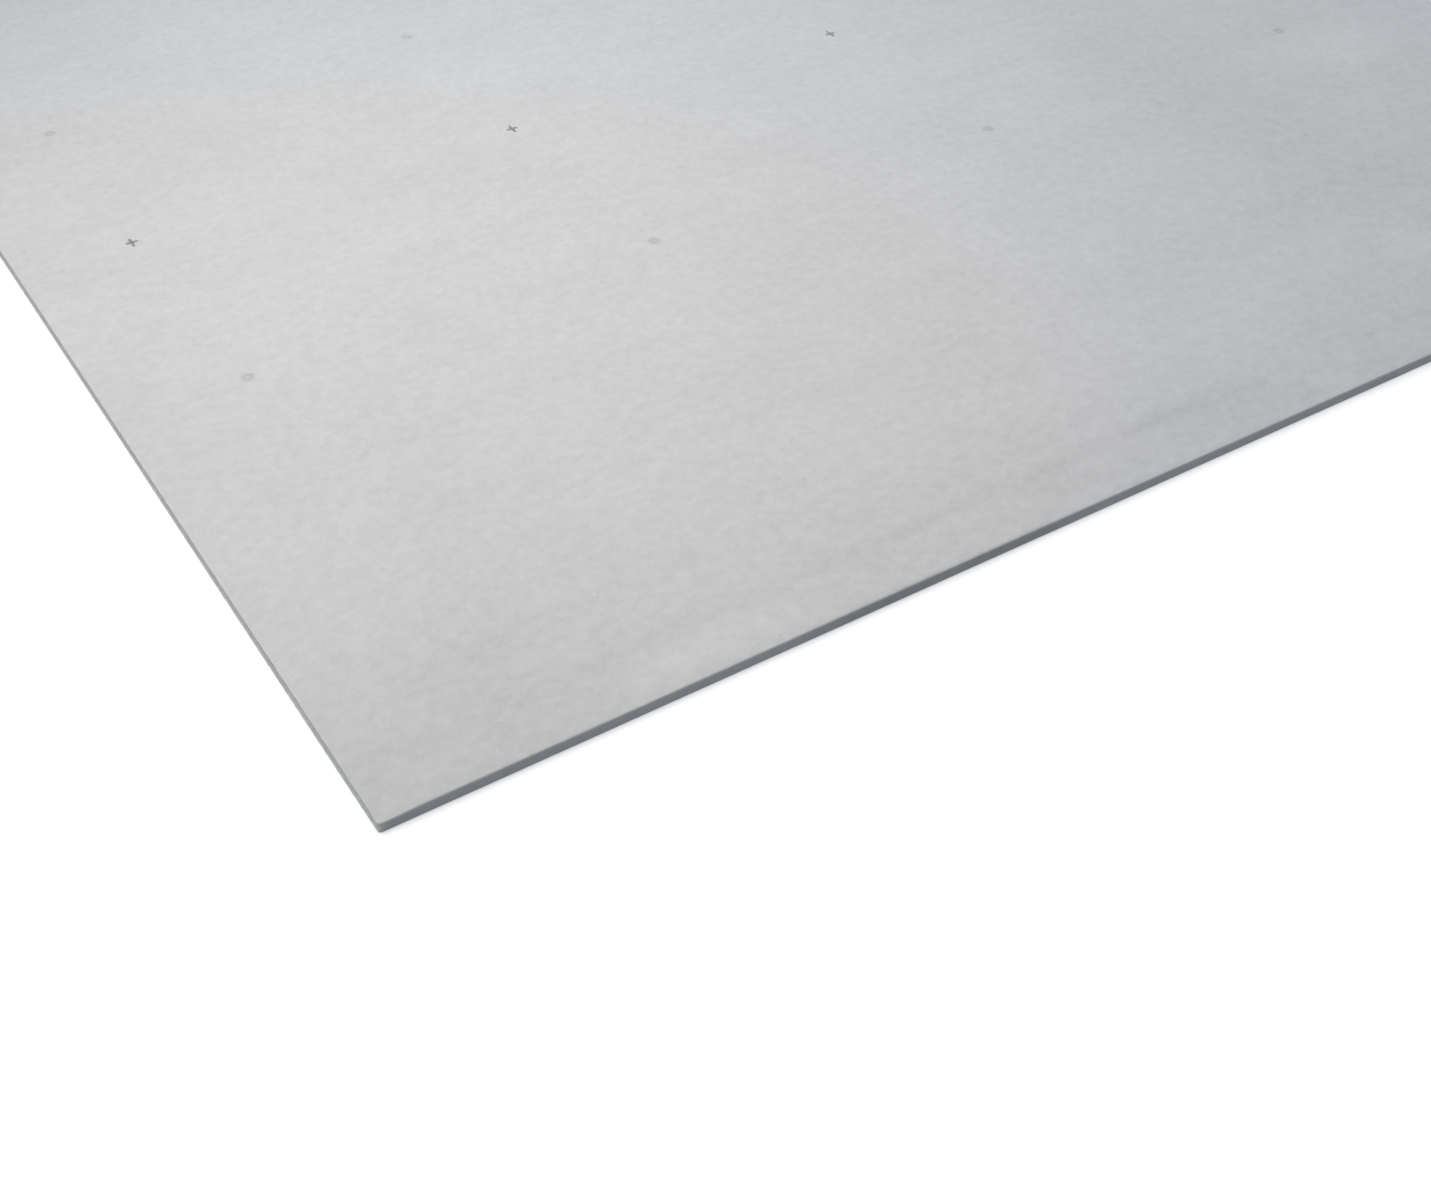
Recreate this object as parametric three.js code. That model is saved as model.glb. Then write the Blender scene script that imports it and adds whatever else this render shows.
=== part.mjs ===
// A drywall sheet: a flat board of gypsum, lined on both sides with heavy paper.
// It lies on its back. Its length runs along X, its width along Y, and its face looks up, along +Z.
// The origin is at the middle of the back, on the plane that the sheet lies on.
// Lengths are in millimetres.
//
// The board is made on a moving belt as an endless strip, so it has one section from end to end:
// a thin, wide bar with shallow tapers along both long edges. A blade then cuts the strip square
// into sheets. The model is made the same way: one section, swept along the length.
import * as THREE from 'three';

// The sheet as it is sold
const SHEET_LENGTH = 2400;
const SHEET_WIDTH = 1200;
const SHEET_THICKNESS = 9.5;

// The tapers hold the jointing tape and its filler level with the face.
const TAPER_WIDTH = 50;
const TAPER_DEPTH = 1.2;
// The face doesn't fold into its taper but bends, in an arc too shallow to feel.
const TAPER_BEND_RADIUS = 500;

// The face liner is folded round each long edge, so that these corners are round.
const FACE_CORNER_RADIUS = 1.2;
const BACK_CORNER_RADIUS = 1.5;

// The folded liner ends under the back liner, which stops short of the edge and stands proud of it.
const LINER_THICKNESS = 0.3;
const OPEN_LAP_WIDTH = 20;

// Each arc of the section is drawn with twice this many straight steps.
const ARC_STEPS = 5;

const halfWidth = SHEET_WIDTH / 2;
const faceHeight = SHEET_THICKNESS;
const taperedHeight = SHEET_THICKNESS - TAPER_DEPTH;

// Continues a counter-clockwise outline round one of its corners, with an arc tangent to both sides.
function roundCorner(outline, before, corner, after, radius) {
  const arriving = corner.clone().sub(before).normalize();
  const leaving = after.clone().sub(corner).normalize();
  const turn = Math.acos(arriving.dot(leaving));
  const setback = radius * Math.tan(turn / 2);
  const arcStart = corner.clone().addScaledVector(arriving, -setback);
  const inward = new THREE.Vector2(-arriving.y, arriving.x);
  const centre = arcStart.addScaledVector(inward, radius);
  const startAngle = inward.angle() + Math.PI;
  outline.absarc(centre.x, centre.y, radius, startAngle, startAngle + turn, false);
}

// One long edge of the section, from the back liner's cut edge up to where the taper begins.
// Each corner is given as its distance from the middle of the sheet, its height and its radius.
function longEdgeCorners() {
  const linerEdge = halfWidth - OPEN_LAP_WIDTH;
  const taperStart = halfWidth - TAPER_WIDTH;
  return [
    { across: linerEdge, up: 0, radius: 0 },
    { across: linerEdge, up: LINER_THICKNESS, radius: 0 },
    { across: halfWidth, up: LINER_THICKNESS, radius: BACK_CORNER_RADIUS },
    { across: halfWidth, up: taperedHeight, radius: FACE_CORNER_RADIUS },
    { across: taperStart, up: faceHeight, radius: TAPER_BEND_RADIUS },
  ];
}

// The whole section, seen along the length: the second long edge mirrors the first.
function sheetSection() {
  const edge = longEdgeCorners();
  const otherEdge = edge.map((corner) => ({ ...corner, across: -corner.across })).reverse();
  const corners = [...edge, ...otherEdge];
  const points = corners.map((corner) => new THREE.Vector2(corner.across, corner.up));

  const outline = new THREE.Shape();
  outline.moveTo(points[0].x, points[0].y);
  for (let i = 1; i < corners.length; i += 1) {
    if (corners[i].radius === 0) {
      outline.lineTo(points[i].x, points[i].y);
    } else {
      const after = points[(i + 1) % points.length];
      roundCorner(outline, points[i - 1], points[i], after, corners[i].radius);
    }
  }
  outline.closePath();
  return outline;
}

function drywallSheet() {
  const geometry = new THREE.ExtrudeGeometry(sheetSection(), {
    depth: SHEET_LENGTH,
    steps: 1,
    bevelEnabled: false,
    curveSegments: ARC_STEPS,
  });
  const liner = new THREE.MeshStandardMaterial({ color: 0xcfd0cf, roughness: 0.85, metalness: 0 });
  const sheet = new THREE.Mesh(geometry, liner);
  sheet.name = 'drywall_sheet';
  // The section is drawn in X and Y and swept along Z. This turns them to Y, Z and X.
  sheet.rotation.set(Math.PI / 2, Math.PI / 2, 0);
  sheet.position.x = -SHEET_LENGTH / 2;
  return sheet;
}

const drywall = new THREE.Group();
drywall.add(drywallSheet());

export default drywall;
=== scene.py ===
# %% [markdown]
# # A drywall sheet
# Drywall is a slab of gypsum plaster cast between two webs of heavy paper. This lesson takes
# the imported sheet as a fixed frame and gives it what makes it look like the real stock: paper
# that wraps the long edges, rough gypsum at the cut ends, printed fixing marks, and a few knocks.
# Everything is in metres, in the frame of the sheet: X along its length, Y across, Z up.

# %% Load the frame
import math

import bpy
import numpy as np
from mathutils import Matrix, Vector, noise


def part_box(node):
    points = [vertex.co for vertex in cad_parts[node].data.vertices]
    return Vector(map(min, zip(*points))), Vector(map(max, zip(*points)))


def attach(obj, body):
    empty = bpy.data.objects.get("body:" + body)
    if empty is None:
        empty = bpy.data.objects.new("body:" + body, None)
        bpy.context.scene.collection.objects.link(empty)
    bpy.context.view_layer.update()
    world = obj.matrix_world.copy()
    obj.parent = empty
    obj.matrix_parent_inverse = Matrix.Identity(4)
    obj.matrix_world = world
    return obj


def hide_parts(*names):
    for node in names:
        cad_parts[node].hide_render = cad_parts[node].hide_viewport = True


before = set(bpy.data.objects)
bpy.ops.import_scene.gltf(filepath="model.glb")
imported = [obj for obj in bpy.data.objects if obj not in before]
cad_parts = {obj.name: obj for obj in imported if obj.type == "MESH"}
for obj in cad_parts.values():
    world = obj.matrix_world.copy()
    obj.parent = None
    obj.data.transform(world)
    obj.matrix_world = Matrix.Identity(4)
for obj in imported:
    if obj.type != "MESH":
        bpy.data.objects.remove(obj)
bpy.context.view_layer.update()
low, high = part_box("drywall_sheet")
LENGTH, WIDTH, THICKNESS = (high - low)[:]
print(f"sheet {LENGTH:.3f} x {WIDTH:.3f} x {THICKNESS:.4f} m")

# %% [markdown]
# ## The section
# The sheet is cast as an endless strip, so one section describes it from end to end. The face
# falls away towards both long edges to leave room for tape and filler. The face liner is
# folded round the edge and ends under the back liner, which stops short of the edge. The section
# could be a curve drawn by hand, but a formula for the face's height keeps every size a named
# one. Written in millimetres, the sizes read as a data sheet does.

# %% Sizes of the section
MM = 0.001
TAPER_WIDTH = 50 * MM
TAPER_DEPTH = 1.2 * MM
TAPER_BEND = 6 * MM
FACE_CORNER = 1.2 * MM
BACK_CORNER = 1.5 * MM
LINER = 0.3 * MM
OPEN_LAP = 20 * MM

half_width = WIDTH / 2
taper_start = half_width - TAPER_WIDTH
lap_start = half_width - OPEN_LAP


def face_height(across):
    """The face's height at a distance from the middle. A short parabola joins flat and taper."""
    slope = TAPER_DEPTH / TAPER_WIDTH
    past = abs(across) - taper_start
    if past <= -TAPER_BEND:
        return THICKNESS
    if past < TAPER_BEND:
        return THICKNESS - slope * (past + TAPER_BEND) ** 2 / (4 * TAPER_BEND)
    return THICKNESS - slope * past


print(f"middle {face_height(0) / MM:.2f} mm thick, long edge {face_height(half_width) / MM:.2f} mm")

# %% [markdown]
# ## The outline as four runs
# A section can be any polygon, but the rough cut ends need a clean grid of faces later on. So
# the outline is kept as four runs that meet in the middle of its round corners: along the back,
# up an edge, along the face and down the other edge. The back and the face have as many points
# each, and half of them are near the edges, where the shape turns.

# %% Round corners and even steps
WIDE_SEGMENTS = 18
LAP_SEGMENTS = 10
STRIP_SEGMENTS = 4
ARC_SEGMENTS = 2
EDGE_SEGMENTS = 4
EDGE_ZONE = 60 * MM
LAP_STEP_RUN = 0.1 * MM


def spread(start, end, segments):
    """Even places from start to end, both included."""
    return [float(place) for place in np.linspace(start, end, segments + 1)]


def arc(centre_y, centre_z, radius, start, end):
    """Points on a round corner, from one angle in degrees to another, both included."""
    turns = [math.radians(turn) for turn in spread(start, end, ARC_SEGMENTS)]
    return [(centre_y + radius * math.cos(a), centre_z + radius * math.sin(a)) for a in turns]


print(f"a corner of {FACE_CORNER / MM:.1f} mm has {ARC_SEGMENTS} segments in each half")

# %% Half of the back, half of the face, and an edge
wide_end = half_width - EDGE_ZONE
face_end = half_width - FACE_CORNER
back_end = half_width - BACK_CORNER
face_arc_z = face_height(face_end) - FACE_CORNER
back_arc_z = LINER + BACK_CORNER

wide = spread(0, wide_end, WIDE_SEGMENTS)[:-1]
edge_zone = spread(wide_end, face_end, LAP_SEGMENTS + 1 + STRIP_SEGMENTS)
face_half = [(y, face_height(y)) for y in wide + edge_zone]
face_half += arc(face_end, face_arc_z, FACE_CORNER, 90, 45)[1:]

under_liner = spread(wide_end, lap_start, LAP_SEGMENTS)
open_strip = spread(lap_start + LAP_STEP_RUN, back_end, STRIP_SEGMENTS)
back_half = [(y, 0.0) for y in wide + under_liner] + [(y, LINER) for y in open_strip]
back_half += arc(back_end, back_arc_z, BACK_CORNER, -90, -45)[1:]

edge_run = arc(back_end, back_arc_z, BACK_CORNER, -45, 0)
edge_run += [(half_width, z) for z in spread(back_arc_z, face_arc_z, EDGE_SEGMENTS)[1:-1]]
edge_run += arc(face_end, face_arc_z, FACE_CORNER, 0, 45)
print(f"{len(back_half)} points on half the back, {len(face_half)} on half the face")

# %% [markdown]
# ## The whole ring, coarse and fine
# Along the sheet nothing much happens from one hand's width to the next, so a coarse ring is
# enough there. At a cut end the paper frays and the gypsum crumbles within a millimetre or
# two, so the last few rings are fine. Fine rings all along would be simpler, but would need
# many times the points. Each coarse segment is cut into a whole number of fine ones, its share,
# which lets the two kinds of ring be stitched together without a gap.

# %% Join the runs
FINE_STEP = 1.5 * MM


def mirrored(points):
    """The same run on the other side of the middle, in the opposite order."""
    return [(-y, z) for y, z in reversed(points)]


back_run = mirrored(back_half)[:-1] + back_half
face_run = list(reversed(face_half))[:-1] + [(-y, z) for y, z in face_half]
down_run = mirrored(edge_run)
coarse_ring = np.array(back_run[:-1] + edge_run[:-1] + face_run[:-1] + down_run[:-1])

SIDE = len(edge_run) - 1
back_lengths = np.linalg.norm(np.diff(np.array(back_run), axis=0), axis=1)
face_lengths = np.linalg.norm(np.diff(np.array(face_run), axis=0), axis=1)[::-1]
run_shares = np.ceil(np.maximum(back_lengths, face_lengths) / FINE_STEP).astype(int)
side_shares = np.ones(SIDE, int)
shares = np.concatenate([run_shares, side_shares, run_shares[::-1], side_shares])


def finer(ring):
    """The ring with each segment cut into its share of fine ones."""
    following = np.roll(ring, -1, axis=0)
    pieces = [a + (b - a) * np.arange(n)[:, None] / n for a, b, n in zip(ring, following, shares)]
    return np.concatenate(pieces)


fine_ring = finer(coarse_ring)
print(f"coarse ring {len(coarse_ring)} points, fine ring {len(fine_ring)}")

# %% [markdown]
# ## Wear
# A real sheet is never quite flat or straight. Its face waves by a few hundredths of a
# millimetre, its edges have been slid over other sheets, and its corners are the first thing to
# meet a floor. All of this only takes material away, so every point moves inwards, and the
# sheet stays inside its own box. It could be sculpted by hand, but fractal noise costs nothing
# to store and comes out the same each time.

# %% Relief of the paper
FACE_WAVE = 0.05 * MM
FACE_WAVE_SIZE = 240 * MM
FACE_DIMPLE = 0.012 * MM
FACE_DIMPLE_SIZE = 35 * MM
EDGE_WAVE = 0.22 * MM
EDGE_WAVE_SIZE = 70 * MM
EDGE_REACH = 5 * MM
OCTAVES = 3


def lumps(points, size):
    """Smooth noise from 0 to 1 at each point, with lumps about as large as size."""
    values = [noise.fractal(Vector(p) / size, 1.0, 2.0, OCTAVES) for p in points]
    return np.clip(0.5 + 0.5 * np.array(values), 0, 1)


def outward(ring):
    """The direction straight out of the ring at each of its points."""
    along = np.roll(ring, -1, axis=0) - np.roll(ring, 1, axis=0)
    along /= np.linalg.norm(along, axis=1)[:, None]
    return np.stack([along[:, 1], -along[:, 0]], axis=1)


def skin(ring, x):
    """The ring placed at x, with its points pressed in by waves, dimples and edge wear."""
    points = np.column_stack([np.full(len(ring), x), ring])
    near_edge = np.clip(1 - (half_width - np.abs(ring[:, 0])) / EDGE_REACH, 0, 1)
    depth = FACE_WAVE * lumps(points, FACE_WAVE_SIZE)
    depth += FACE_DIMPLE * lumps(points, FACE_DIMPLE_SIZE)
    depth += EDGE_WAVE * near_edge * lumps(points, EDGE_WAVE_SIZE)
    points[:, 1:] -= outward(ring) * depth[:, None]
    return points


middle_ring = skin(coarse_ring, 0.0)
pressed_in = np.linalg.norm(middle_ring[:, 1:] - coarse_ring, axis=1)
print(f"half way along, the skin is pressed in by up to {pressed_in.max() / MM:.2f} mm")

# %% Blunt corners
CORNER_RADIUS = 3.5 * MM
CORNER_SAG = 1.0 * MM
CORNER_SAG_SIZE = 16 * MM


def knock_corners(points):
    """Rounds the four upright corners in plan, and presses the face down close to them."""
    from_end = np.minimum(points[:, 0] - low.x, high.x - points[:, 0])
    from_edge = np.minimum(points[:, 1] - low.y, high.y - points[:, 1])
    reach = np.exp(-((from_end**2 + from_edge**2) / CORNER_SAG_SIZE**2))
    points[:, 2] *= 1 - CORNER_SAG / THICKNESS * reach

    short = np.stack([CORNER_RADIUS - from_end, CORNER_RADIUS - from_edge], axis=1)
    distance = np.linalg.norm(short, axis=1)
    outside = (short.min(axis=1) > 0) & (distance > CORNER_RADIUS)
    pull = short[outside] * (1 - CORNER_RADIUS / distance[outside])[:, None]
    points[outside, 0] -= np.sign(points[outside, 0]) * pull[:, 0]
    points[outside, 1] -= np.sign(points[outside, 1]) * pull[:, 1]
    return points


print(f"corners rounded to {CORNER_RADIUS / MM:.1f} mm and pressed down {CORNER_SAG / MM:.1f} mm")

# %% [markdown]
# ## The paper skin, ring by ring
# A box with bevels would be quicker, but only rings follow the true section and can fray at
# their ends. Near a cut end the rings are fine: the outermost is the torn lip of the paper,
# with a ragged front a few tenths of a millimetre deep. A little further in, coarse rings take
# over and carry on at even steps to the other end.

# %% Places of the rings
RING_STEP = 8 * MM
FINE_PLACES = np.array([0.0, 0.6, 1.6, 4.0]) * MM
LIP_DEPTH = 0.4 * MM
LIP_SIZE = 5 * MM
LIP_TUCK = 0.12 * MM

coarse_count = round(LENGTH / RING_STEP) - 1
coarse_places = low.x + (np.arange(coarse_count) + 1) * LENGTH / (coarse_count + 1)


def end_rings(end):
    """The fine rings of one cut end, from the lip inwards. end is -1 or 1."""
    x_end = high.x if end > 0 else low.x
    rings = [skin(fine_ring, x_end - end * place) for place in FINE_PLACES]
    lip = rings[0]
    lip[:, 0] -= end * LIP_DEPTH * lumps(lip, LIP_SIZE)
    lip[:, 1:] -= outward(fine_ring) * LIP_TUCK
    return [knock_corners(ring) for ring in rings]


left_rings = end_rings(-1)
right_rings = end_rings(1)
coarse_rings = [knock_corners(skin(coarse_ring, x)) for x in coarse_places]
print(f"{len(coarse_rings)} coarse rings, {len(left_rings)} fine rings at each end")

# %% [markdown]
# ## The cut end
# The saw that trims the sheet tears its paper a little and breaks crumbs off the core, so a thin
# rim of paper stands proud and the gypsum lies a little back, uneven and full of air bubbles. One
# flat face would look like plastic, and one displaced all over would lose the clean rim. So the
# rim's inner line is the lip moved in by the liner's thickness, a grid is stretched inside that
# line between the four runs, and noise pushes the grid back.

# %% A grid stretched between four runs
CORE_RECESS = 0.25 * MM
CORE_ROUGHNESS = 0.7 * MM
CORE_LUMP = 6 * MM
CORE_GRAIN = 2.2 * MM
LUMP_SHARE = 0.6
FINE_RUN = int(run_shares.sum())


def stretched_grid(rim):
    """A grid of points that fills a closed rim, blended from its four sides."""
    back = rim[: FINE_RUN + 1]
    right = rim[FINE_RUN : FINE_RUN + SIDE + 1]
    face = rim[FINE_RUN + SIDE : 2 * FINE_RUN + SIDE + 1][::-1]
    left = np.concatenate([rim[2 * FINE_RUN + SIDE :], rim[:1]])[::-1]
    s = np.linspace(0, 1, FINE_RUN + 1)[:, None, None]
    t = np.linspace(0, 1, SIDE + 1)[None, :, None]
    level = (1 - t) * back[:, None] + t * face[:, None]
    upright = (1 - s) * left[None] + s * right[None]
    corners = (1 - s) * (1 - t) * back[0] + s * (1 - t) * back[-1]
    corners = corners + (1 - s) * t * face[0] + s * t * face[-1]
    return level + upright - corners


def cut_end(rings, end):
    """The rim of paper and the grid of gypsum inside it, pushed back from the lip."""
    rim = rings[0].copy()
    rim[:, 1:] -= outward(fine_ring) * LINER
    rim[:, 0] -= end * LAP_STEP_RUN
    core = stretched_grid(rim)
    inner = core[1:-1, 1:-1].reshape(-1, 3)
    crumble = LUMP_SHARE * lumps(inner, CORE_LUMP) + (1 - LUMP_SHARE) * lumps(inner, CORE_GRAIN)
    inner[:, 0] -= end * (CORE_RECESS + CORE_ROUGHNESS * crumble)
    return rim, inner


left_rim, left_core = cut_end(left_rings, -1)
right_rim, right_core = cut_end(right_rings, 1)
print(f"{len(left_core)} points of gypsum at each end")

# %% [markdown]
# ## Faces
# All that is left is to number the points and join them. Blender can bridge two rings by itself,
# but it picks the pairs, and here they are known. Between two rings of one kind, four points
# make a face. Where a fine ring meets a coarse one, each coarse segment and its share of fine
# ones are joined by a fan of triangles. Each face also gets the finish it shows: face liner,
# back liner, the cut edge of the paper, or gypsum.

# %% Number the points and join them
FACE_LINER, BACK_LINER, PAPER_EDGE, GYPSUM = range(4)
points, faces, finishes = [], [], []


def number(more):
    """Adds points to the mesh and returns their numbers."""
    first = sum(len(p) for p in points)
    points.append(more)
    return np.arange(first, first + len(more))


def join(corners, finish, turned=False):
    """Adds faces from columns of point numbers. turned makes them face the other way."""
    table = np.stack(corners, axis=-1).reshape(-1, len(corners))
    faces.extend((table[:, ::-1] if turned else table).tolist())
    finishes.extend(np.broadcast_to(finish, len(table)).tolist())


def band(lower, upper, finish):
    """Faces between two rings of one kind. lower is the one at the lower X."""
    join([lower, np.roll(lower, -1), np.roll(upper, -1), upper], finish)


def stitch(fine, coarse, finish, end):
    """A fan of triangles for each coarse segment and its share of fine ones."""
    starts = np.concatenate([[0], np.cumsum(shares)])
    for k, share in enumerate(shares):
        a, b = coarse[k], coarse[(k + 1) % len(coarse)]
        row = np.take(fine, range(starts[k], starts[k + 1] + 1), mode="wrap")
        half = share // 2
        tips = np.where(np.arange(share) < half, a, b)
        join([row[:-1], row[1:], tips], finish[k], turned=end > 0)
        join([row[half : half + 1], np.array([b]), np.array([a])], finish[k], turned=end > 0)


left_ids = [number(ring) for ring in left_rings]
coarse_ids = [number(ring) for ring in coarse_rings]
right_ids = [number(ring) for ring in right_rings]
print(f"{right_ids[-1][-1] + 1} points in the skin")

# %% Which finish each part of the ring shows
middles = (coarse_ring + np.roll(coarse_ring, -1, axis=0)) / 2
on_back = middles[:, 1] < LINER * 0.25
on_step = (middles[:, 1] < LINER * 0.75) & ~on_back
coarse_finish = np.where(on_back, BACK_LINER, np.where(on_step, PAPER_EDGE, FACE_LINER))
fine_finish = np.repeat(coarse_finish, shares)

for lower, upper in zip(left_ids, left_ids[1:]):
    band(lower, upper, fine_finish)
stitch(left_ids[-1], coarse_ids[0], coarse_finish, -1)
for lower, upper in zip(coarse_ids, coarse_ids[1:]):
    band(lower, upper, coarse_finish)
stitch(right_ids[-1], coarse_ids[-1], coarse_finish, 1)
for lower, upper in zip(right_ids, right_ids[1:]):
    band(upper, lower, fine_finish)
print(f"{len(faces)} faces in the skin, {on_step.sum()} segments of each ring are a liner's cut edge")

# %% Close the ends
SHARP_ANGLE = 40


def close_end(lip_ids, rim, inner, end):
    """The rim of paper and the gypsum of one cut end."""
    rim_ids = number(rim)
    turned = end > 0
    next_lip, next_rim = np.roll(lip_ids, -1), np.roll(rim_ids, -1)
    join([lip_ids, rim_ids, next_rim, next_lip], PAPER_EDGE, turned)
    grid = np.zeros((FINE_RUN + 1, SIDE + 1), int)
    grid[:, 0] = rim_ids[: FINE_RUN + 1]
    grid[-1, :] = rim_ids[FINE_RUN : FINE_RUN + SIDE + 1]
    grid[:, -1] = rim_ids[FINE_RUN + SIDE : 2 * FINE_RUN + SIDE + 1][::-1]
    grid[0, 1:] = rim_ids[2 * FINE_RUN + SIDE :][::-1]
    grid[1:-1, 1:-1] = number(inner).reshape(FINE_RUN - 1, SIDE - 1)
    join([grid[:-1, :-1], grid[:-1, 1:], grid[1:, 1:], grid[1:, :-1]], GYPSUM, turned)


close_end(left_ids[0], left_rim, left_core, -1)
close_end(right_ids[0], right_rim, right_core, 1)

mesh = bpy.data.meshes.new("drywall_board")
mesh.from_pydata(np.concatenate(points).tolist(), [], faces)
mesh.polygons.foreach_set("material_index", finishes)
mesh.shade_smooth()
mesh.set_sharp_from_angle(angle=math.radians(SHARP_ANGLE))
board = bpy.data.objects.new("drywall_board", mesh)
bpy.context.scene.collection.objects.link(board)
triangles = sum(len(face) - 2 for face in faces)
print(f"{len(mesh.vertices)} points, {triangles} triangles")

# %% [markdown]
# ## Colours and nodes
# Colours are given in sRGB, as on a screen, but a shader adds light in linear numbers, so
# one function turns a hex colour into linear ones. A material's nodes could be placed by hand in
# the editor. Here another function adds each one with its settings and links, so that a material
# reads as a short recipe, with every number in sight. Where the numbers of inputs are used, a
# Map Range has its value at 0, the range that it comes from at 1 and 2 and the range that it goes
# to at 3 and 4. A colour Mix has its share at 0, the colour underneath at 6 and the one over it
# at 7.

# %% Helpers for materials


def linear(hex_colour):
    """An sRGB hex colour as linear red, green, blue and alpha."""
    parts = [int(hex_colour[i : i + 2], 16) / 255 for i in (1, 3, 5)]
    return [p / 12.92 if p <= 0.04045 else ((p + 0.055) / 1.055) ** 2.4 for p in parts] + [1.0]


def add(tree, kind, inputs=None, **settings):
    """Adds a node. inputs maps an input's name or number to a value, a node or a node's output."""
    made = tree.nodes.new("ShaderNode" + kind)
    for name, value in settings.items():
        setattr(made, name, value)
    for key, value in (inputs or {}).items():
        if isinstance(value, bpy.types.Node):
            value = next(output for output in value.outputs if output.enabled)
        if isinstance(value, bpy.types.NodeSocket):
            tree.links.new(value, made.inputs[key])
        else:
            made.inputs[key].default_value = value
    return made


def new_material(name):
    """An empty node material and its tree."""
    made = bpy.data.materials.new(name)
    made.use_nodes = True
    made.node_tree.nodes.clear()
    return made, made.node_tree


print("mid grey #808080 is", round(linear("#808080")[0], 3), "in linear light")

# %% [markdown]
# ## The face liner
# The face is grey board made from recycled fibre on a cylinder machine, and left uncoated so
# that plaster and paint key to it. To the eye it is a soft, even light grey. Closer, it has
# clouds a few millimetres wide where the fibres bunched in the vat, broad faint patches, long
# faint streaks in the direction that the web ran, single fibres, and now and then a darker
# fleck. A scan of real paper would have to repeat on so large a sheet. Noise doesn't, so it
# gives each of these at its own size, stretched along X, the way the web ran.

# %% Clouds, streaks and fibres
PAPER_GREY = "#d2d3d2"
CLOUD_SIZE = 6 * MM
CLOUD_STRETCH = 1.15
STREAK_WIDTH = 16 * MM
STREAK_STRETCH = 25.0
PATCH_SIZE = 75 * MM
PATCH_STRETCH = 1.5
FIBRE_WIDTH = 0.5 * MM  # a real fibre is 0.03 mm wide, too fine to show, so it is drawn coarser
FIBRE_STRETCH = 7.0


def web_noise(tree, place, size, stretch, detail=3.0, turn=0.0):
    """Noise from 0 to 1 with lumps of a size, stretched along X and turned in the sheet's plane."""
    turned = add(tree, "Mapping", {"Vector": place, "Rotation": (0, 0, math.radians(turn))})
    shape = (1 / (size * stretch), 1 / size, 1 / size)
    scaled = add(tree, "VectorMath", {0: turned, 1: shape}, operation="MULTIPLY")
    return add(tree, "TexNoise", {"Vector": scaled, "Scale": 1.0, "Detail": detail})


def weighted(tree, terms, start):
    """start plus each noise, less its middle, times its weight."""
    total = start - sum(weight for _, weight in terms) / 2
    for grain, weight in terms:
        total = add(tree, "Math", {0: grain, 1: weight, 2: total}, operation="MULTIPLY_ADD")
    return total


print(f"a streak is {STREAK_WIDTH * STREAK_STRETCH / MM:.0f} mm long")

# %% Hairs and flecks
HAIR_SIZE = 2.6 * MM
HAIR_STRETCH = 1.8
HAIR_SPREAD = 0.03
GAP_SIZE = 3.38 * MM
HAIR_GAPS = (0.5, 0.6)  # a hair is broken where noise is under the first, whole over the second
FLECK_SPACING = 28 * MM
FLECK_RADIUS = 0.5 * MM
FLECK_SHARE = 0.5


def hairs(tree, place, turn, strength):
    """Thin curved fibres, broken into short lengths: strength on a fibre and 0 elsewhere."""
    bends = web_noise(tree, place, HAIR_SIZE, HAIR_STRETCH, detail=0.0, turn=turn)
    off_line = add(tree, "Math", {0: bends, 1: -0.5}, operation="ADD")
    distance = add(tree, "Math", {0: off_line}, operation="ABSOLUTE")
    thin = {0: distance, 1: HAIR_SPREAD, 2: 0.0, 4: strength}
    line = add(tree, "MapRange", thin, interpolation_type="SMOOTHSTEP")
    gaps = web_noise(tree, place, GAP_SIZE, 1.0, detail=1.0, turn=turn + 60)
    whole = {0: gaps, 1: HAIR_GAPS[0], 2: HAIR_GAPS[1]}
    unbroken = add(tree, "MapRange", whole, interpolation_type="SMOOTHSTEP")
    return add(tree, "Math", {0: line, 1: unbroken}, operation="MULTIPLY")


def flecks(tree, place, spacing, share):
    """1 inside small round flecks and 0 elsewhere. Only a share of the cells has one."""
    cells = add(tree, "TexVoronoi", {"Vector": place, "Scale": 1 / spacing})
    near = add(tree, "Math", {0: cells, 1: FLECK_RADIUS / spacing}, operation="LESS_THAN")
    chance = add(tree, "SeparateColor", {0: cells.outputs["Color"]})
    chosen = add(tree, "Math", {0: chance, 1: share}, operation="LESS_THAN")
    return add(tree, "Math", {0: near, 1: chosen}, operation="MULTIPLY")


print(f"a fleck {2 * FLECK_RADIUS / MM:.0f} mm wide in {FLECK_SHARE:.0%} of the cells")

# %% [markdown]
# ## Fixing marks
# A wheel prints marks on the moving web, to show the fitter where the studs run and how far
# apart the screws go: small crosses along the middle, and pale rings along a row on either side
# of it. They could be thin shapes laid on the face, but ink has no height of its own, so they are
# drawn in the paper's material. Each row repeats along X, and one cell of it holds one mark. The
# wheel has three stamps round it and runs a little off centre, so its marks are not quite even.

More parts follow.
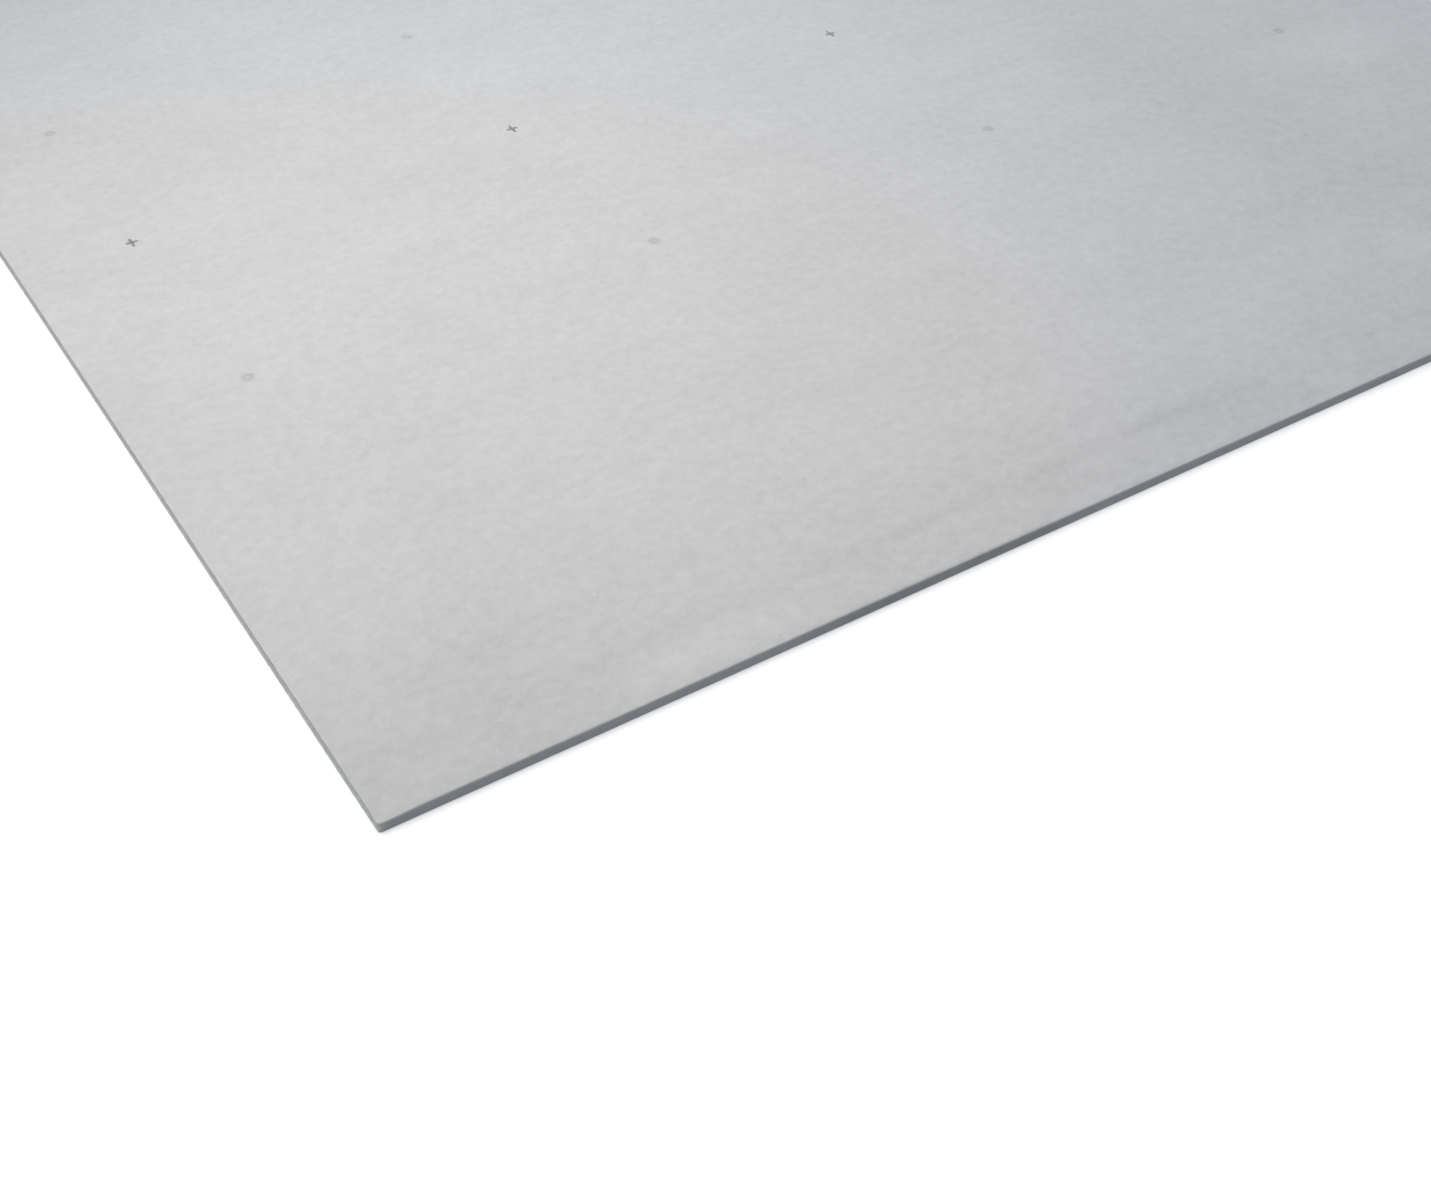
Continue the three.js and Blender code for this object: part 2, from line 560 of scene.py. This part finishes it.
# %% Rows of marks
MARK_PITCH = 304.8 * MM
CROSS_ROWS = [(2.2 * MM, 82.5 * MM)]  # a row's place across, and its first mark from the left end
RING_ROWS = [(-202.1 * MM, 89.7 * MM), (196.2 * MM, 83.4 * MM)]
WHEEL_STAMPS = 3
WHEEL_SLIP = 2.4 * MM  # a mark is early or late by up to this
WHEEL_TURN = -27  # degrees, as it starts at the left end
RING_RADIUS = 2.7 * MM
RING_STROKE = 3.8 * MM
CROSS_ARM = 4.3 * MM
CROSS_HEIGHT = 1.35  # the upright arm is this much longer than the level one
CROSS_STROKE = 1.9 * MM
INK_BLEED = 1.6 * MM


def mark_cell(tree, place, row):
    """The distances along X and Y from the nearest mark of a row."""
    across, first = row
    axes = add(tree, "SeparateXYZ", {0: place})
    start = low.x + first - MARK_PITCH / 2
    turning = math.tau / (WHEEL_STAMPS * MARK_PITCH)
    angle = {0: axes.outputs[0], 1: turning, 2: math.radians(WHEEL_TURN) - turning * low.x}
    wheel = add(tree, "Math", angle, operation="MULTIPLY_ADD")
    slip = add(tree, "Math", {0: wheel}, operation="SINE")
    evened = {0: slip, 1: -WHEEL_SLIP, 2: axes.outputs[0]}
    even = add(tree, "Math", evened, operation="MULTIPLY_ADD")
    along = add(tree, "Math", {0: even, 1: -start}, operation="ADD")
    cell = add(tree, "Math", {0: along, 1: MARK_PITCH}, operation="FLOORED_MODULO")
    dx = add(tree, "Math", {0: cell, 1: -MARK_PITCH / 2}, operation="ADD")
    dy = add(tree, "Math", {0: axes.outputs[1], 1: -across}, operation="ADD")
    return dx, dy


def ring_marks(tree, place, row):
    """A row of printed rings: 1 on the ink, falling to 0 across its bleed."""
    dx, dy = mark_cell(tree, place, row)
    offset = add(tree, "CombineXYZ", {0: dx, 1: dy})
    reach = add(tree, "VectorMath", {0: offset}, operation="LENGTH")
    from_line = add(tree, "Math", {0: reach, 1: -RING_RADIUS}, operation="ADD")
    distance = add(tree, "Math", {0: from_line}, operation="ABSOLUTE")
    rim = {0: distance, 1: (RING_STROKE + INK_BLEED) / 2, 2: (RING_STROKE - INK_BLEED) / 2}
    return add(tree, "MapRange", rim, interpolation_type="SMOOTHSTEP")


def cross_marks(tree, place, row):
    """A row of printed crosses: 1 on the ink, falling to 0 across its bleed."""
    dx, dy = mark_cell(tree, place, row)
    level = add(tree, "Math", {0: dx}, operation="ABSOLUTE")
    shrunk = add(tree, "Math", {0: dy, 1: 1 / CROSS_HEIGHT}, operation="MULTIPLY")
    upright = add(tree, "Math", {0: shrunk}, operation="ABSOLUTE")
    longer = add(tree, "Math", {0: level, 1: upright}, operation="MAXIMUM")
    shorter = add(tree, "Math", {0: level, 1: upright}, operation="MINIMUM")
    tips = {0: longer, 1: CROSS_ARM + INK_BLEED / 2, 2: CROSS_ARM - INK_BLEED / 2}
    sides = {0: shorter, 1: (CROSS_STROKE + INK_BLEED) / 2, 2: (CROSS_STROKE - INK_BLEED) / 2}
    within = add(tree, "MapRange", tips, interpolation_type="SMOOTHSTEP")
    stroke = add(tree, "MapRange", sides, interpolation_type="SMOOTHSTEP")
    return add(tree, "Math", {0: within, 1: stroke}, operation="MULTIPLY")


print(f"{int(LENGTH / MARK_PITCH) + 1} marks in each row")

# %% The print of a rubber wheel
INK_GRAIN = 2.0 * MM
INK_WANDER = 2.2 * MM
INK_GAPS = (0.35, 0.6)
THIN_INK = 0.5


def shaken(tree, place, size, reach):
    """A place shifted about by noise, so that what is drawn there gets a ragged outline."""
    wobble = add(tree, "TexNoise", {"Vector": place, "Scale": 1 / size, "Detail": 3.0})
    centred = {0: wobble.outputs["Color"], 1: (-0.5, -0.5, -0.5)}
    either_way = add(tree, "VectorMath", centred, operation="ADD")
    shift = add(tree, "VectorMath", {0: either_way, "Scale": reach}, operation="SCALE")
    return add(tree, "VectorMath", {0: place, 1: shift}, operation="ADD")


def printed(tree, place, marks, rows):
    """Every mark of some rows, with the ragged outline and thin spots of a rubber wheel's print."""
    rough = shaken(tree, place, INK_GRAIN, INK_WANDER)
    patchy = web_noise(tree, place, INK_GRAIN / 2, 1.0)
    solid = add(tree, "MapRange", {0: patchy, 1: INK_GAPS[0], 2: INK_GAPS[1], 3: THIN_INK})
    total = 0.0
    for row in rows:
        ink = add(tree, "Math", {0: marks(tree, rough, row), 1: solid}, operation="MULTIPLY")
        total = add(tree, "Math", {0: total, 1: ink}, operation="MAXIMUM")
    return total


print(f"thin spots keep {THIN_INK:.0%} of the ink")

# %% [markdown]
# ## Lines, smudges, and painted shade and light
# The long edge is shaped by a belt that presses it while the core sets. A faint grey line runs
# close to where the taper starts, and the last few centimetres by each long edge are a little
# darker, in ragged patches. Soft patches elsewhere are painted shade where they are darker and
# painted light where they are paler: they stand in for light that falls unevenly on the face.
# A mask painted by hand could hold all this, but soft lines and ellipses broken up by noise do
# too, and stay fine close up. Each gives a share from 0 to 1, which later darkens the paper's
# colour by its weight, or pales it where the weight is negative.

# %% A darker line by the taper, and darker long edges
DARK_LINE_INSET = 41 * MM
DARK_LINE_WIDTH = 22 * MM
DARK_LINE_PATCH = 60 * MM
DARK_LINE_STRETCH = 4.0
DARK_LINE_GAPS = (0.36, 0.6)
EDGE_DARK_REACH = 62 * MM
EDGE_DARK_SIZE = 30 * MM
EDGE_DARK_STRETCH = 1.4
EDGE_DARK_GAPS = (0.3, 0.75)


def from_long_edge(tree, place):
    """The distance in from the nearer long edge."""
    axes = add(tree, "SeparateXYZ", {0: place})
    out = add(tree, "Math", {0: axes.outputs[1]}, operation="ABSOLUTE")
    return add(tree, "Math", {0: half_width, 1: out}, operation="SUBTRACT")


def darker_taper_line(tree, place):
    """A soft line along each long edge. It fades in and out."""
    inset = from_long_edge(tree, place)
    off_line = add(tree, "Math", {0: inset, 1: -DARK_LINE_INSET}, operation="ADD")
    distance = add(tree, "Math", {0: off_line}, operation="ABSOLUTE")
    thin = {0: distance, 1: DARK_LINE_WIDTH / 2, 2: 0.0}
    line = add(tree, "MapRange", thin, interpolation_type="SMOOTHSTEP")
    patchy = web_noise(tree, place, DARK_LINE_PATCH, DARK_LINE_STRETCH, detail=1.0)
    kept = {0: patchy, 1: DARK_LINE_GAPS[0], 2: DARK_LINE_GAPS[1]}
    line_kept = add(tree, "MapRange", kept, interpolation_type="SMOOTHSTEP")
    return add(tree, "Math", {0: line, 1: line_kept}, operation="MULTIPLY")


def darker_long_edges(tree, place):
    """Darker near the long edges, in ragged patches."""
    inset = from_long_edge(tree, place)
    fading = {0: inset, 1: EDGE_DARK_REACH, 2: 0.0}
    near = add(tree, "MapRange", fading, interpolation_type="SMOOTHSTEP")
    patchy = web_noise(tree, place, EDGE_DARK_SIZE, EDGE_DARK_STRETCH, detail=4.0)
    kept = {0: patchy, 1: EDGE_DARK_GAPS[0], 2: EDGE_DARK_GAPS[1]}
    dark_patches = add(tree, "MapRange", kept, interpolation_type="SMOOTHSTEP")
    return add(tree, "Math", {0: near, 1: dark_patches}, operation="MULTIPLY")


# The darker line lies this far in from each long edge.
print(f"the belt line lies {DARK_LINE_INSET / MM:.0f} mm in from each long edge")

# %% Smudged places, darker stretches of the edge, painted shade and painted light
# Each place is a centre along and across, and a reach along and across, in millimetres.
SMUDGED = [(-742, -571, 32, 16), (-648, -554, 22, 10), (-545, -590, 16, 8), (-490, -588, 26, 9)]
# Painted shade: soft darker patches on the face, standing in for places where less light falls.
PAINTED_SHADE_PATCHES = [(-1110, -515, 60, 50), (-620, -570, 95, 34), (-350, -405, 120, 60), (-325, -240, 90, 200)]
# Darker stretches along one long edge.
DARKER_EDGE_STRETCHES = [(-880, -600, 75, 3), (-800, -600, 75, 3)]
# Painted light: soft paler patches on the face, standing in for places where more light falls.
PAINTED_LIGHT_PATCHES = [(-990, -580, 85, 22), (-185, -252, 76, 50), (-357, -505, 36, 42)]
RAGGED_SIZE = 12 * MM
VERY_RAGGED = 1.6
SLIGHTLY_RAGGED = 0.5
SPOT_RIM = 1.1
SPOT_HEART = 0.1


def spots(tree, place, ellipses, raggedness):
    """Soft ellipses with a ragged outline: 1 in the heart of each and 0 outside them."""
    ragged = web_noise(tree, place, RAGGED_SIZE, 1.0, detail=4.0)
    total = 0.0
    for along, across, length, width in ellipses:
        centre = (along * MM, across * MM, 0)
        offset = add(tree, "VectorMath", {0: place, 1: centre}, operation="SUBTRACT")
        shape = (1 / (length * MM), 1 / (width * MM), 0)
        scaled = add(tree, "VectorMath", {0: offset, 1: shape}, operation="MULTIPLY")
        reach = add(tree, "VectorMath", {0: scaled}, operation="LENGTH")
        rough = add(tree, "Math", {0: ragged, 1: raggedness, 2: reach}, operation="MULTIPLY_ADD")
        fall = {0: rough, 1: SPOT_RIM + raggedness / 2, 2: SPOT_HEART + raggedness / 2}
        spot = add(tree, "MapRange", fall, interpolation_type="SMOOTHSTEP")
        total = add(tree, "Math", {0: total, 1: spot}, operation="MAXIMUM")
    return total


print(f"{len(SMUDGED + PAINTED_SHADE_PATCHES + DARKER_EDGE_STRETCHES)} darker places and {len(PAINTED_LIGHT_PATCHES)} paler ones")

# %% The face liner's recipe
DARK_FIBRE = "#8d949b"
PALE_FIBRE = "#efece6"
FLECK_GREY = "#bcbab5"
PALE_INK = "#bdbebd"
DARK_INK = "#616261"
FACE_HAIR = 0.18
PAPER_ROUGHNESS = 0.78
PAPER_IOR = 1.5
PAPER_SHINE = 0.3
FIBRE_HEIGHT = 0.03 * MM


def face_liner():
    """Uncoated grey recycled board: soft, even, faintly cloudy, and printed with fixing marks."""
    made, tree = new_material("grey_face_liner_paper")
    place = add(tree, "TexCoord").outputs["Object"]
    clouds = web_noise(tree, place, CLOUD_SIZE, CLOUD_STRETCH)
    streaks = web_noise(tree, place, STREAK_WIDTH, STREAK_STRETCH, detail=2.0)
    patches = web_noise(tree, place, PATCH_SIZE, PATCH_STRETCH)
    fibres = web_noise(tree, place, FIBRE_WIDTH, FIBRE_STRETCH, detail=1.0, turn=14)
    crossing = web_noise(tree, place, FIBRE_WIDTH, FIBRE_STRETCH, detail=1.0, turn=-31)
    pattern = [(clouds, 0.215), (streaks, 0.06), (patches, 0.095), (fibres, 0.075), (crossing, 0.075)]
    tone = weighted(tree, pattern, 1.0)

    # Each darker or paler place and its weight: the line by the taper, the darker long edges,
    # smudges, painted shade, darker stretches of the edge and painted light; then each layer's share
    # and its colour.
    wear_and_painted_light = [
        (darker_taper_line(tree, place), 0.036),
        (darker_long_edges(tree, place), 0.03),
        (spots(tree, place, SMUDGED, VERY_RAGGED), 0.05),
        (spots(tree, place, PAINTED_SHADE_PATCHES, SLIGHTLY_RAGGED), 0.045),
        (spots(tree, place, DARKER_EDGE_STRETCHES, SLIGHTLY_RAGGED), 0.18),
        (spots(tree, place, PAINTED_LIGHT_PATCHES, SLIGHTLY_RAGGED), -0.065),
    ]
    for patch_share, weight in wear_and_painted_light:
        tone = add(tree, "Math", {0: patch_share, 1: -weight, 2: tone}, operation="MULTIPLY_ADD")
    base = {0: linear(PAPER_GREY)[:3], "Scale": tone}
    colour = add(tree, "VectorMath", base, operation="SCALE")

    layers = [
        (hairs(tree, place, 20, FACE_HAIR), DARK_FIBRE),
        (hairs(tree, place, -50, FACE_HAIR), PALE_FIBRE),
        (flecks(tree, place, FLECK_SPACING, FLECK_SHARE), FLECK_GREY),
        (printed(tree, place, ring_marks, RING_ROWS), PALE_INK),
        (printed(tree, place, cross_marks, CROSS_ROWS), DARK_INK),
    ]
    for share, over in layers:
        colour = add(tree, "Mix", {0: share, 6: colour, 7: linear(over)}, data_type="RGBA")

    height = weighted(tree, [(fibres, 0.5), (crossing, 0.5), (clouds, 0.6)], 0.5)
    bump = add(tree, "Bump", {"Height": height, "Distance": FIBRE_HEIGHT, "Strength": 1.0})
    paper = {
        "Base Color": colour,
        "Roughness": PAPER_ROUGHNESS,
        "IOR": PAPER_IOR,
        "Specular IOR Level": PAPER_SHINE,
        "Normal": bump,
    }
    add(tree, "OutputMaterial", {"Surface": add(tree, "BsdfPrincipled", paper)})
    return made


materials = [face_liner()]
print(materials[-1].name, "has", len(materials[-1].node_tree.nodes), "nodes")

# %% [markdown]
# ## The back liner and the cut edge of the paper
# Nobody sees the back once the sheet is up, so its liner is made from mixed brown and grey
# waste. It is duller and warmer than the face, with more fibre bundles and flecks. Where either
# liner is cut, the edge shows the unsized middle plies, which are darker than the surface. Both
# are paper still, so the face's patterns are used again with other colours and weights.

# %% Back liner
BACK_BUFF = "#b9b0a2"
BACK_FLECK = "#8a8176"
BACK_CLOUD_SIZE = 8.4 * MM
BACK_FLECK_SPACING = 14 * MM
BACK_FLECK_SHARE = 0.6
BACK_DARK_HAIR = 0.4
BACK_PALE_HAIR = 0.3
BACK_ROUGHNESS = 0.85


def back_liner():
    """Uncoated buff board of mixed waste, cloudier and more flecked than the face."""
    made, tree = new_material("buff_back_liner_paper")
    place = add(tree, "TexCoord").outputs["Object"]
    clouds = web_noise(tree, place, BACK_CLOUD_SIZE, CLOUD_STRETCH)
    streaks = web_noise(tree, place, STREAK_WIDTH, STREAK_STRETCH, detail=2.0)
    fibres = web_noise(tree, place, FIBRE_WIDTH, FIBRE_STRETCH, detail=1.0, turn=22)
    tone = weighted(tree, [(clouds, 0.22), (streaks, 0.08), (fibres, 0.12)], 1.0)
    base = {0: linear(BACK_BUFF)[:3], "Scale": tone}
    colour = add(tree, "VectorMath", base, operation="SCALE")

    layers = [
        (hairs(tree, place, 35, BACK_DARK_HAIR), BACK_FLECK),
        (hairs(tree, place, -40, BACK_PALE_HAIR), PALE_FIBRE),
        (flecks(tree, place, BACK_FLECK_SPACING, BACK_FLECK_SHARE), BACK_FLECK),
    ]
    for share, over in layers:
        colour = add(tree, "Mix", {0: share, 6: colour, 7: linear(over)}, data_type="RGBA")

    height = weighted(tree, [(fibres, 0.6), (clouds, 0.6)], 0.5)
    bump = add(tree, "Bump", {"Height": height, "Distance": FIBRE_HEIGHT, "Strength": 1.0})
    paper = {
        "Base Color": colour,
        "Roughness": BACK_ROUGHNESS,
        "IOR": PAPER_IOR,
        "Specular IOR Level": PAPER_SHINE,
        "Normal": bump,
    }
    add(tree, "OutputMaterial", {"Surface": add(tree, "BsdfPrincipled", paper)})
    return made


materials.append(back_liner())
print(materials[-1].name, "has", len(materials[-1].node_tree.nodes), "nodes")

# %% Cut edge of the paper
EDGE_BROWN = "#b3ada2"
PLY_STRETCH = 3.0
PLY_HEIGHT = 0.06 * MM
EDGE_ROUGHNESS = 0.95


def paper_edge():
    """The torn edge of a liner, where its darker middle plies show."""
    made, tree = new_material("cut_edge_of_liner_paper")
    place = add(tree, "TexCoord").outputs["Object"]
    plies = web_noise(tree, place, FIBRE_WIDTH, PLY_STRETCH, detail=2.0)
    tone = weighted(tree, [(plies, 0.4)], 1.0)
    base = {0: linear(EDGE_BROWN)[:3], "Scale": tone}
    colour = add(tree, "VectorMath", base, operation="SCALE")
    bump = add(tree, "Bump", {"Height": plies, "Distance": PLY_HEIGHT, "Strength": 1.0})
    paper = {
        "Base Color": colour,
        "Roughness": EDGE_ROUGHNESS,
        "IOR": PAPER_IOR,
        "Normal": bump,
    }
    add(tree, "OutputMaterial", {"Surface": add(tree, "BsdfPrincipled", paper)})
    return made


materials.append(paper_edge())
print(materials[-1].name, "has", len(materials[-1].node_tree.nodes), "nodes")

# %% [markdown]
# ## The gypsum core
# The core is set gypsum, a soft white mineral, foamed with soap so that the sheet is light. The
# saw leaves it as matt as chalk, off-white and crumbly, with pits where it cut through the air
# bubbles. Most bubbles are half a millimetre wide or less, and a few are up to five times that.
# The mesh has the larger lumps. The crumbs and pits could be in the mesh too, but it would need
# a hundred times the points, so they are in the bump and the colour; the pits' darker grey is
# painted shade in their hollows. The saw's teeth also leave faint upright scores.

# %% Pits left by bubbles
BUBBLES = [(0.5 * MM, 0.9), (1.0 * MM, 0.45), (2.6 * MM, 0.1)]  # the widest, and a share of cells


def bubbles(tree, place, spacing, share):
    """Round pits of many sizes in a share of the cells: how deep each is, from 0 to 1."""
    cells = add(tree, "TexVoronoi", {"Vector": place, "Scale": 1 / spacing})
    chance = add(tree, "SeparateColor", {0: cells.outputs["Color"]})
    radius = add(tree, "MapRange", {0: chance, 2: share, 3: 0.5, 4: 0.001})
    reach = add(tree, "Math", {0: cells, 1: radius}, operation="DIVIDE")
    curve = add(tree, "Math", {0: reach, 1: 2.0}, operation="POWER")
    bowl = add(tree, "Math", {0: 1.0, 1: curve}, operation="SUBTRACT", use_clamp=True)
    depth = add(tree, "Math", {0: radius, 1: 2.0}, operation="MULTIPLY")
    return add(tree, "Math", {0: bowl, 1: depth}, operation="MULTIPLY")


print(f"the widest pit is {max(spacing for spacing, _ in BUBBLES) / MM:.1f} mm across")

# %% Gypsum
GYPSUM_WHITE = "#dcdbd6"
PAINTED_PIT_SHADE = "#b4b2ab"
CRUMB_SIZE = 1.2 * MM
CRUMB_WANDER = 0.7 * MM
GRIT_SIZE = 0.3 * MM
CORE_CLOUD = 9 * MM
SCORE_WIDTH = 0.8 * MM
SCORE_STRETCH = 10.0
CRUMB_HEIGHT = 0.3 * MM
PIT_DEPTH = 1.1  # in crumb heights
CHALK_ROUGHNESS = 0.95
GYPSUM_IOR = 1.52


def gypsum_core():
    """Cut foamed gypsum: chalky, off-white, crumbly and pitted with small bubbles."""
    made, tree = new_material("foamed_gypsum_core")
    place = add(tree, "TexCoord").outputs["Object"]
    rough = shaken(tree, place, CRUMB_SIZE, CRUMB_WANDER)
    pits = 0.0
    for spacing, share in BUBBLES:
        some = bubbles(tree, rough, spacing, share)
        pits = add(tree, "Math", {0: some, 1: pits}, operation="MAXIMUM")

    crumbs = web_noise(tree, place, CRUMB_SIZE, 1.0, detail=8.0)
    grit = web_noise(tree, place, GRIT_SIZE, 1.0, detail=2.0)
    clouds = web_noise(tree, place, CORE_CLOUD, 1.0, detail=2.0)
    upright = (1.0, 1 / SCORE_WIDTH, 1 / (SCORE_WIDTH * SCORE_STRETCH))
    narrowed = add(tree, "VectorMath", {0: place, 1: upright}, operation="MULTIPLY")
    scores = add(tree, "TexNoise", {"Vector": narrowed, "Scale": 1.0, "Detail": 2.0})
    # Crumbs, grit and scores are darker where they lie lower: partly their own tone, partly painted
    # shade in the small hollows between them.
    tone = weighted(tree, [(crumbs, 0.34), (grit, 0.2), (clouds, 0.12), (scores, 0.08)], 1.0)
    base = {0: linear(GYPSUM_WHITE)[:3], "Scale": tone}
    colour = add(tree, "VectorMath", base, operation="SCALE")
    # The pits are painted shade: their colour darkens to grey towards the bottom of each hollow.
    colour = add(tree, "Mix", {0: pits, 6: colour, 7: linear(PAINTED_PIT_SHADE)}, data_type="RGBA")

    height = weighted(tree, [(crumbs, 1.6), (grit, 0.4), (scores, 0.4)], 0.5)
    sunk = add(tree, "Math", {0: pits, 1: -PIT_DEPTH, 2: height}, operation="MULTIPLY_ADD")
    bump = add(tree, "Bump", {"Height": sunk, "Distance": CRUMB_HEIGHT, "Strength": 1.0})
    chalk = {
        "Base Color": colour,
        "Roughness": CHALK_ROUGHNESS,
        "IOR": GYPSUM_IOR,
        "Normal": bump,
    }
    add(tree, "OutputMaterial", {"Surface": add(tree, "BsdfPrincipled", chalk)})
    return made


materials.append(gypsum_core())
print(materials[-1].name, "has", len(materials[-1].node_tree.nodes), "nodes")

# %% [markdown]
# ## Dressing the sheet
# Every face of the mesh already has the number of its finish. The materials could be painted on
# face by face, but adding them in the order of those numbers does it at once. The mesh then
# stands in for the plain solid and moves with the same body.

# %% Dress the sheet
for finish in materials:
    mesh.materials.append(finish)
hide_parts("drywall_sheet")
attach(board, "root")
print("finishes:", ", ".join(m.name for m in mesh.materials))

# %% [markdown]
# ## Floor and surroundings
# The sheet lies on a plain white floor in a plain white studio. A white floor under bright
# lamps would give that, but the light that it throws back would wash out the sheet's edges. So
# only the eye sees the white: there the floor glows, keeps the sheet's soft shadow, and fades to
# pure white away from it. The sheet itself is lit by the lamps, by a little light from all
# round, and by what a grey floor throws back.

# %% The floor
FLOOR_SIZE = 60.0
FLOOR_GREY = "#84828a"
FLOOR_WHITE = "#f2f2f2"
FLOOR_GLOW = 0.5
FADE_START = 0.06
FADE_END = 0.4
WHITE = (1.0, 1.0, 1.0, 1.0)

bpy.ops.mesh.primitive_plane_add(size=FLOOR_SIZE, location=(0, 0, low.z))
floor = bpy.context.object
floor.name = "floor"


def seen_directly(tree):
    """1 for a ray from the eye, straight or by way of a mirror or a pane, and 0 for others."""
    path = add(tree, "LightPath").outputs
    mirrored_too = {0: path["Is Camera Ray"], 1: path["Is Glossy Ray"]}
    eye = add(tree, "Math", mirrored_too, operation="MAXIMUM")
    pane = {0: eye, 1: path["Is Transmission Ray"]}
    return add(tree, "Math", pane, operation="MAXIMUM")


print(f"the floor is {FLOOR_SIZE:.0f} m wide at z = {low.z:.4f}")

# %% The floor's material
floor_material, tree = new_material("studio_floor")
place = add(tree, "TexCoord").outputs["Object"]
apart = add(tree, "VectorMath", {0: place}, operation="ABSOLUTE")
half_sheet = (LENGTH / 2, WIDTH / 2, 0)
past = add(tree, "VectorMath", {0: apart, 1: half_sheet}, operation="SUBTRACT")
beside = add(tree, "VectorMath", {0: past, 1: (0, 0, 0)}, operation="MAXIMUM")
away = add(tree, "VectorMath", {0: beside}, operation="LENGTH")
fading = {0: away, 1: FADE_START, 2: FADE_END}
faded = add(tree, "MapRange", fading, interpolation_type="SMOOTHSTEP")

shadowed = add(tree, "BsdfDiffuse", {"Color": linear(FLOOR_WHITE)})
glow = add(tree, "Emission", {"Color": WHITE, "Strength": FLOOR_GLOW})
near_sheet = add(tree, "AddShader", {0: shadowed, 1: glow})
pure_white = add(tree, "Emission", {"Color": WHITE, "Strength": 1.0})
pale = add(tree, "MixShader", {0: faded, 1: near_sheet, 2: pure_white})
plain = add(tree, "BsdfDiffuse", {"Color": linear(FLOOR_GREY)})
shown = add(tree, "MixShader", {0: seen_directly(tree), 1: plain, 2: pale})
add(tree, "OutputMaterial", {"Surface": shown})
floor.data.materials.append(floor_material)
print(f"the floor fades to white from {FADE_START} to {FADE_END} m beside the sheet")

# %% The world
ROOM_LIGHT = "#c9d1da"
ROOM_STRENGTH = 0.5133

world = bpy.data.worlds.new("studio")
world.use_nodes = True
tree = world.node_tree
tree.nodes.clear()
room = add(tree, "Background", {"Color": linear(ROOM_LIGHT), "Strength": ROOM_STRENGTH})
backdrop = add(tree, "Background", {"Color": WHITE, "Strength": 1.0})
shown = add(tree, "MixShader", {0: seen_directly(tree), 1: room, 2: backdrop})
add(tree, "OutputWorld", {"Surface": shown})
bpy.context.scene.world = world
print(f"the room lights the sheet at a strength of {ROOM_STRENGTH}")

# %% [markdown]
# ## Lamps
# Big, soft lamps suit a flat matt board. A single small one would give light enough, but would
# leave a hot spot. The main one hangs over the near left of the sheet, and its light fades along
# the sheet. The other three are cooler, and lift the parts that it doesn't reach.

# %% Soft boxes


def soft_box(name, place, target, size, watts, colour):
    """A square area lamp at a place, aimed at a target. It lights things but isn't seen."""
    data = bpy.data.lights.new(name, "AREA")
    data.size = size
    data.energy = watts
    data.color = linear(colour)[:3]
    lamp = bpy.data.objects.new(name, data)
    lamp.location = place
    aim = Vector(target) - Vector(place)
    lamp.rotation_euler = aim.to_track_quat("-Z", "Y").to_euler()
    lamp.visible_camera = False
    bpy.context.scene.collection.objects.link(lamp)
    return lamp


main_box = soft_box(
    "main_soft_box",
    place=(-1.08, -0.16, 0.7),
    target=(-1.08, -0.16, 0),
    size=1.0,
    watts=5.507,
    colour="#eadfd9",
)
far_box = soft_box(
    "far_soft_box",
    place=(-0.5, 0.77, 1.0),
    target=(-0.5, 0.77, 0),
    size=0.5,
    watts=3.821,
    colour="#e0ecf5",
)
right_box = soft_box(
    "right_soft_box",
    place=(1.18, -0.18, 0.9),
    target=(1.18, -0.18, 0),
    size=2.4,
    watts=10.45,
    colour="#f4f3f9",
)
side_box = soft_box(
    "side_soft_box",
    place=(-4.5, -0.69, 0.3),
    target=(-1.2, 0, 0),
    size=1.6,
    watts=63.38,
    colour="#cbd4d8",
)
print("lamps:", main_box.name, far_box.name, right_box.name, side_box.name)

# %% [markdown]
# ## Camera
# The camera stands in front of the near corner, a little to its left and about as high as a
# table, and looks down along the sheet. It could be aimed at a target, but three plain angles
# also give it the slight lean of one held by hand.

# %% Camera
CORNER_TO_CAMERA = Vector((-0.1819, -0.6238, 0.7128))
HEADING = 31.41
PITCH = 41.74
ROLL = -1.07
LENS = 47.51
SENSOR = 36.0

camera_data = bpy.data.cameras.new("camera")
camera_data.lens = LENS
camera_data.sensor_width = SENSOR
camera = bpy.data.objects.new("camera", camera_data)
bpy.context.scene.collection.objects.link(camera)
turn = Matrix.Rotation(math.radians(-HEADING), 4, "Z")
tip = Matrix.Rotation(math.radians(90 - PITCH), 4, "X")
lean = Matrix.Rotation(math.radians(ROLL), 4, "Z")
near_corner = Vector((low.x, low.y, low.z))
camera.matrix_world = Matrix.Translation(near_corner + CORNER_TO_CAMERA) @ turn @ tip @ lean
bpy.context.scene.camera = camera
bpy.context.scene.view_settings.view_transform = "Standard"
print("camera at", [round(c, 3) for c in camera.location])
